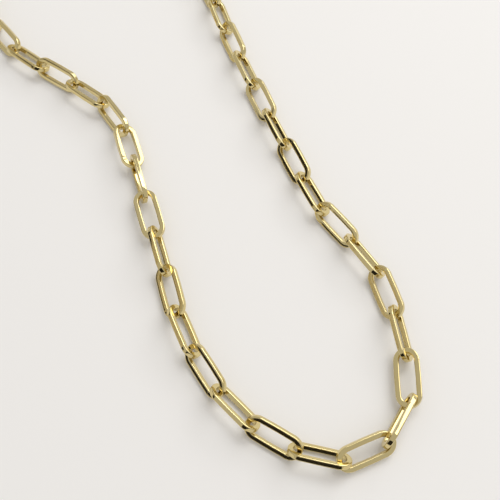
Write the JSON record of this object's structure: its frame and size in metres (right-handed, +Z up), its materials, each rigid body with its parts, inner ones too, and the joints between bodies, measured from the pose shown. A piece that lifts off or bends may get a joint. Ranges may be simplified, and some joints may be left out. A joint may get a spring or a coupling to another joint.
{
  "type": "paperclip chain necklace",
  "caption": "Loose closed necklace of equal elongated oval links of polished gold wire with flat sides and rounded edges, with a plain hook clasp, lying flat in a bent loop.",
  "frame": {"origin": "on the surface that the chain lies on, under the middle of its outline", "axes": "+Z up from the surface, +Y along the length of the loop towards the end that holds the clasp, +X across the loop, to the right of someone who looks along +Y"},
  "size_m": [0.1134, 0.1548, 0.0055],
  "materials": {
    "gold": "polished pale gold plate"
  },
  "bodies": {
    "root": {"clasp": "gold", "link_01": "gold", "link_02": "gold", "link_03": "gold", "link_04": "gold", "link_05": "gold", "link_06": "gold", "link_07": "gold", "link_08": "gold", "link_09": "gold", "link_10": "gold", "link_11": "gold", "link_12": "gold", "link_13": "gold", "link_14": "gold", "link_15": "gold", "link_16": "gold", "link_17": "gold", "link_18": "gold", "link_19": "gold", "link_20": "gold", "link_21": "gold", "link_22": "gold", "link_23": "gold", "link_24": "gold", "link_25": "gold", "link_26": "gold", "link_27": "gold", "link_28": "gold", "link_29": "gold", "link_30": "gold", "link_31": "gold", "link_32": "gold", "link_33": "gold", "link_34": "gold", "link_35": "gold", "link_36": "gold", "link_37": "gold", "link_38": "gold", "link_39": "gold", "link_40": "gold"}
  },
  "joints": []
}
